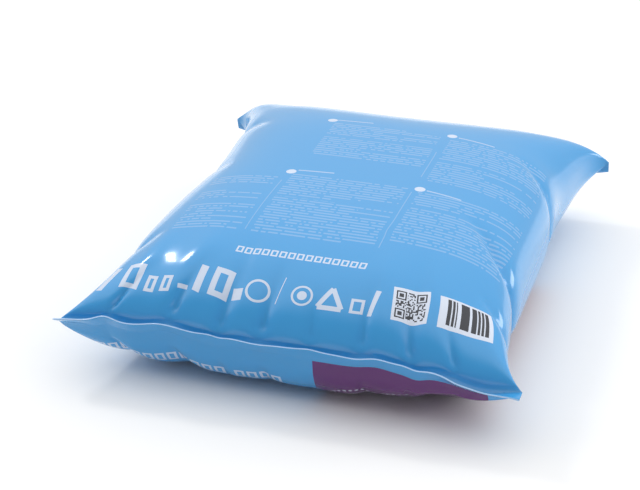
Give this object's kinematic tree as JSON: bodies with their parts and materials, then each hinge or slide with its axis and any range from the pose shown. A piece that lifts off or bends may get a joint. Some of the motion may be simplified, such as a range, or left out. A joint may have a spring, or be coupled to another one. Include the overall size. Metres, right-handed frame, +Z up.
{
  "type": "cat litter bag",
  "caption": "Filled pillow bag of cat litter in printed film, welded across both ends, lying flat on its front panel.",
  "frame": {"origin": "on the floor, under the middle of the bag's box", "axes": "+Z up, through the bag's thickness; +Y along the bag, from the bottom weld to the top weld; +X across the bag, along the welds"},
  "size_m": [0.4, 0.4642, 0.1206],
  "materials": {
    "printed_film": "glossy printed polyethylene film, sky blue with pale print"
  },
  "bodies": {
    "root": {"litter_bag": "printed_film"}
  },
  "joints": []
}
